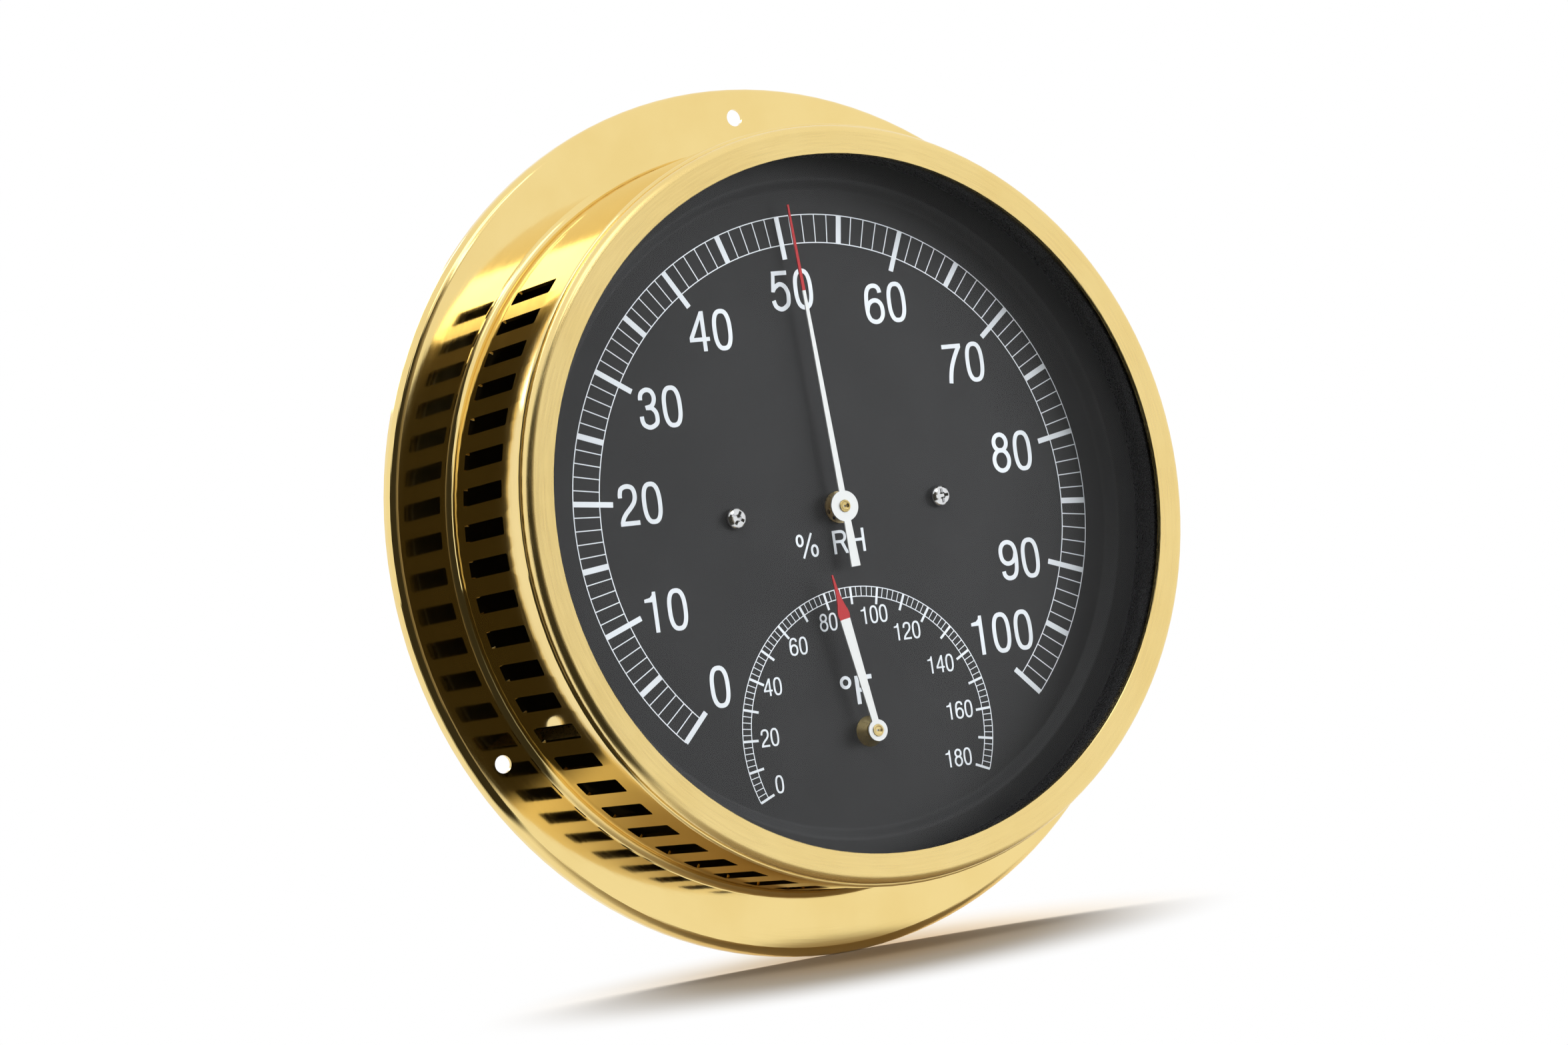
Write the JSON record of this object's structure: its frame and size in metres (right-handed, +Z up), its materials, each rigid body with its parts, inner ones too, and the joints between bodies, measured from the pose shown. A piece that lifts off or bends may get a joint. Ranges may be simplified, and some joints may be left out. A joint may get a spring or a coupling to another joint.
{
  "type": "hygrometer",
  "caption": "Round brass wall hygrometer with a black dial, a small inset thermometer, an air-slotted spun case and a flat mounting flange.",
  "frame": {"origin": "The point of the wall plane behind the middle of the dial, on the outer face of the rear cover.", "axes": "+Z points up to the 50 mark's side of the dial, +X to the right as seen from the front, and +Y into the wall, so the front looks along -Y."},
  "size_m": [0.216, 0.042, 0.216],
  "materials": {
    "brass": "polished and lacquered",
    "steel": "plain turned or stamped",
    "chrome": "bright plated",
    "glass": "clear float glass",
    "rubber": "smooth black, slightly glossy",
    "black_paint": "fine matte black",
    "white_paint": "satin white with red ends",
    "hair": "degreased hair"
  },
  "bodies": {
    "root": {"case_shell": "brass", "dial_lugs": "brass", "rear_cover": "brass", "rear_cover_screws": "steel", "bezel": "brass", "front_glass": "glass", "gasket": "rubber", "dial_plate": "black_paint", "dial_screws": "chrome", "pillars": "brass", "movement_plate": "steel", "plate_screws": "steel", "pointer_bush": "brass", "thermometer_bush": "brass", "bush_nuts": "brass", "hairspring": "steel", "hairspring_stud": "brass", "sector_post": "steel", "sector_clip": "steel", "stop_pins": "steel", "hair_bundle": "hair", "adjuster_bracket": "steel", "adjuster_screws": "steel", "bimetal_coil": "steel", "bimetal_bracket": "steel"},
    "pointer_train": {"pointer_arbor": "steel", "pointer_collet": "brass", "humidity_pointer": "white_paint", "hairspring_collet": "brass"},
    "sector": {"sector_lever": "brass", "hair_hook": "brass"},
    "thermometer": {"thermometer_arbor": "steel", "thermometer_collet": "brass", "thermometer_pointer": "white_paint"},
    "calibration": {"calibration_screw": "brass"},
    "anchor": {"hair_anchor": "brass"}
  },
  "joints": [
    {"name": "humidity_turn", "type": "hinge", "parent": "root", "child": "pointer_train", "pos_m": [0, -0.029, 0], "axis": [0, 1, 0], "range_deg": [-132.2, 138.6], "stiffness_Nm_per_rad": 0.004},
    {"name": "sector_turn", "type": "hinge", "parent": "root", "child": "sector", "pos_m": [-0.02333, -0.018, 0.02333], "axis": [0, 1, 0], "range_deg": [-13.9, 13.3], "deforming": ["hair_bundle"]},
    {"name": "thermometer_turn", "type": "hinge", "parent": "root", "child": "thermometer", "pos_m": [0, -0.029, -0.0547], "axis": [0, 1, 0], "range_deg": [-102.1, 122.3], "stiffness_Nm_per_rad": 0.002},
    {"name": "anchor_slide", "type": "slide", "parent": "root", "child": "anchor", "axis": [0, 0, 1], "range_m": [-0.0005, 0.0005]},
    {"name": "calibration_turn", "type": "hinge", "parent": "root", "child": "calibration", "pos_m": [-0.02293, -0.0206, -0.0717], "axis": [0, 0, 1], "range_deg": [-361, 361]}
  ],
  "couplings": [
    {"joint": "sector_turn", "follows": "humidity_turn", "ratio": -0.1},
    {"joint": "calibration_turn", "follows": "anchor_slide", "rad_per_m": 12566}
  ]
}
